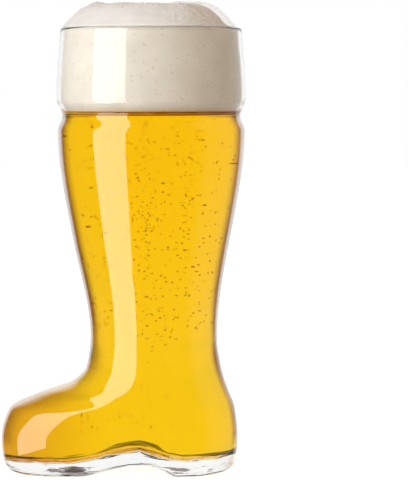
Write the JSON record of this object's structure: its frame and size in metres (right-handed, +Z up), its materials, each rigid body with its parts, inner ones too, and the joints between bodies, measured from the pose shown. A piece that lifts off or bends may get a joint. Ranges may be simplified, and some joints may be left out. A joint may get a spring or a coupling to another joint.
{
  "type": "beer boot glass",
  "caption": "Drinking glass in the shape of a boot, with a ring groove under its cup and a thick arched sole, filled with golden beer under a head of foam.",
  "frame": {"origin": "on the table, under the middle of the glass's outer box", "axes": "+Z up along the shaft, -X to the toe, +X to the heel, the boot is alike on both sides of the XZ plane"},
  "size_m": [0.136, 0.1044, 0.26],
  "materials": {
    "glass": "gloss",
    "beer": "clear liquid",
    "foam": "fine froth"
  },
  "bodies": {
    "root": {"boot_glass": "glass", "beer": "beer", "foam_head": "foam"}
  },
  "joints": []
}
